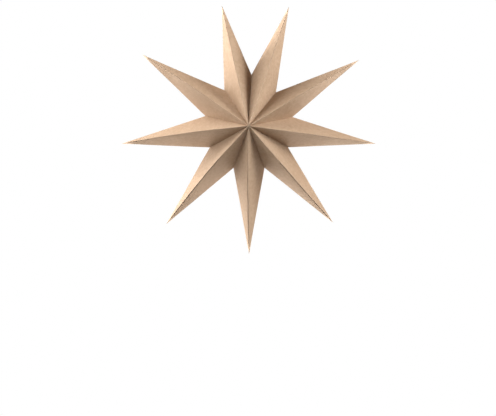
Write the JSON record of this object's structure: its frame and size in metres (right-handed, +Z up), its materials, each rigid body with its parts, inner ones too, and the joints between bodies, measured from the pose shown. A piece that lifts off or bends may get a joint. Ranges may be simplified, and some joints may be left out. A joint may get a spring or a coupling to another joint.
{
  "type": "origami star",
  "caption": "Folded kraft-paper star for hanging: long hollow points with sharp ridges, glued side by side round a hub and taped shut at one valley.",
  "frame": {"origin": "outer corner of the closing valley, in the star's middle plane, where it hangs", "axes": "+Z up, through the hang point and away from the star; the front of the star faces -Y"},
  "size_m": [0.2971, 0.0896, 0.2905],
  "materials": {
    "kraft_card": "matte",
    "tape": "matte"
  },
  "bodies": {
    "root": {"star_point_1": "kraft_card", "star_point_2": "kraft_card", "star_point_3": "kraft_card", "star_point_4": "kraft_card", "star_point_5": "kraft_card", "star_point_6": "kraft_card", "star_point_7": "kraft_card", "star_point_8": "kraft_card", "star_point_9": "kraft_card", "closing_tape_front": "tape", "closing_tape_back": "tape"}
  },
  "joints": []
}
